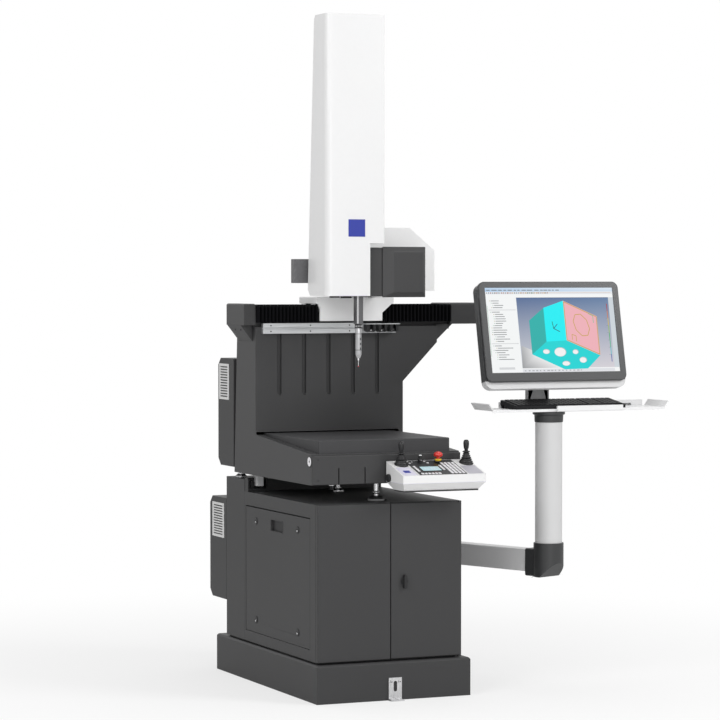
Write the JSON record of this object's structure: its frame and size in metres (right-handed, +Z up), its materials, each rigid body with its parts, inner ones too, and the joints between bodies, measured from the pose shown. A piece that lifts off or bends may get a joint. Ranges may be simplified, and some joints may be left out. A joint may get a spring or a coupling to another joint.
{
  "type": "coordinate measuring machine",
  "caption": "Floor-standing coordinate measuring machine: dark cabinet and bed, rear wall carrying a sliding gantry with white column and probe, joystick console, screen on a swing arm.",
  "frame": {"origin": "centre of the plinth on the floor", "axes": "+Z up, front towards -Y, +X to the right seen from the front"},
  "size_m": [1.4578, 1.185, 2.42],
  "materials": {
    "dark_paint": "fine textured",
    "cast_paint": "satin",
    "table_black": "satin",
    "white_gloss": "gloss",
    "console_white": "gloss",
    "light_grey": "satin",
    "neck_grey": "satin",
    "steel": "ground",
    "anodised": "anodised",
    "grille": "matte",
    "black_plastic": "matte",
    "bellows_black": "matte",
    "bezel": "gloss",
    "screen": "gloss",
    "stop_red": "gloss"
  },
  "bodies": {
    "stand": {"plinth": "dark_paint", "floor_bracket": "steel", "cabinet_frame": "dark_paint", "cabinet_front_panel": "dark_paint", "rear_column": "dark_paint", "vent_boxes": "dark_paint", "vent_grilles": "grille", "support_feet": "steel", "machine_casting": "cast_paint", "front_cover": "dark_paint", "table_plate": "table_black", "x_guide_beam": "dark_paint", "x_guide_rails": "steel", "end_caps": "dark_paint", "bellows_left": "bellows_black", "bellows_right": "bellows_black", "stylus_rack_rail": "anodised", "stylus_rack_holders": "black_plastic", "console_bracket": "dark_paint", "console_housing": "console_white", "console_face": "black_plastic", "joystick_boots": "bellows_black", "arm_bracket": "dark_paint"},
    "door": {"door": "dark_paint"},
    "door_handle": {"door_handle": "black_plastic"},
    "side_panel": {"side_panel": "dark_paint", "panel_locks": "black_plastic"},
    "x_carriage": {"x_carriage": "light_grey", "guide_blocks": "steel"},
    "y_slide": {"y_beam": "cast_paint", "y_guide_rails": "steel", "drive_cover": "cast_paint", "beam_hood": "white_gloss", "side_box": "cast_paint", "column_cover": "white_gloss", "z_frame": "anodised", "ram_guides": "steel", "z_drive": "black_plastic"},
    "ram": {"ram": "steel", "probe_head": "steel", "stylus": "steel"},
    "gimbal_left": {"gimbal_left": "black_plastic"},
    "joystick_left": {"joystick_left": "black_plastic", "stick_fork_left": "black_plastic"},
    "gimbal_right": {"gimbal_right": "black_plastic"},
    "joystick_right": {"joystick_right": "black_plastic", "stick_fork_right": "black_plastic"},
    "stop_button": {"stop_button": "stop_red"},
    "mode_switch": {"mode_switch": "black_plastic"},
    "side_knob": {"side_knob": "black_plastic"},
    "screen_arm": {"swing_arm": "light_grey", "arm_elbow": "black_plastic", "pole": "light_grey", "pole_collar": "black_plastic"},
    "tray": {"keyboard_tray": "light_grey", "keyboard": "black_plastic", "monitor_neck": "neck_grey"},
    "monitor": {"monitor_bezel": "bezel", "screen_panel": "screen", "monitor_shell": "console_white"}
  },
  "joints": [
    {"name": "x_travel", "type": "slide", "parent": "stand", "child": "x_carriage", "axis": [1, 0, 0], "range_m": [-0.22, 0.22], "deforming": ["bellows_left", "bellows_right"]},
    {"name": "y_travel", "type": "slide", "parent": "x_carriage", "child": "y_slide", "axis": [0, 1, 0], "range_m": [-0.235, 0.205]},
    {"name": "z_travel", "type": "slide", "parent": "y_slide", "child": "ram", "axis": [0, 0, 1], "range_m": [-0.235, 0.235]},
    {"name": "door_swing", "type": "hinge", "parent": "stand", "child": "door", "pos_m": [0.264, -0.47, 0.413], "axis": [0, 0, 1], "range_deg": [0, 110]},
    {"name": "door_latch", "type": "hinge", "parent": "door", "child": "door_handle", "pos_m": [0.045, -0.4745, 0.413], "axis": [0, 1, 0], "range_deg": [0, 90]},
    {"name": "side_panel_pull_off", "type": "slide", "parent": "stand", "child": "side_panel", "axis": [-1, 0, 0], "range_m": [0, 0.12]},
    {"name": "stick_left_side", "type": "hinge", "parent": "stand", "child": "gimbal_left", "pos_m": [0.028, -0.486, 0.8159], "axis": [0, 1, 0], "range_deg": [-15, 15], "stiffness_Nm_per_rad": 0.6},
    {"name": "stick_left_fore", "type": "hinge", "parent": "gimbal_left", "child": "joystick_left", "pos_m": [0.028, -0.486, 0.8159], "axis": [1, 0, 0], "range_deg": [-15, 15], "stiffness_Nm_per_rad": 0.6, "deforming": ["joystick_boots"]},
    {"name": "stick_right_side", "type": "hinge", "parent": "stand", "child": "gimbal_right", "pos_m": [0.28, -0.486, 0.8159], "axis": [0, 1, 0], "range_deg": [-15, 15], "stiffness_Nm_per_rad": 0.6},
    {"name": "stick_right_fore", "type": "hinge", "parent": "gimbal_right", "child": "joystick_right", "pos_m": [0.28, -0.486, 0.8159], "axis": [1, 0, 0], "range_deg": [-15, 15], "stiffness_Nm_per_rad": 0.6},
    {"name": "stop_push", "type": "slide", "parent": "stand", "child": "stop_button", "axis": [0, 0, -1], "range_m": [0, 0.005], "stiffness_N_per_m": 800},
    {"name": "mode_turn", "type": "hinge", "parent": "stand", "child": "mode_switch", "pos_m": [0.108, -0.47, 0.83], "axis": [0, 0, 1], "range_deg": [-45, 45]},
    {"name": "knob_turn", "type": "hinge", "parent": "stand", "child": "side_knob", "pos_m": [-0.014, -0.48, 0.779], "axis": [-1, 0, 0], "range_deg": [-180, 180]},
    {"name": "arm_swing", "type": "hinge", "parent": "stand", "child": "screen_arm", "pos_m": [0.3385, 0.3905, 0.452], "axis": [0, 0, 1], "range_deg": [-15, 75]},
    {"name": "tray_swivel", "type": "hinge", "parent": "screen_arm", "child": "tray", "pos_m": [0.65278, -0.39926, 0.998], "axis": [0, 0, 1], "range_deg": [-45, 45]},
    {"name": "screen_tilt", "type": "hinge", "parent": "tray", "child": "monitor", "pos_m": [0.65078, -0.34926, 1.25], "axis": [1, 0, 0], "range_deg": [-10, 12]}
  ]
}
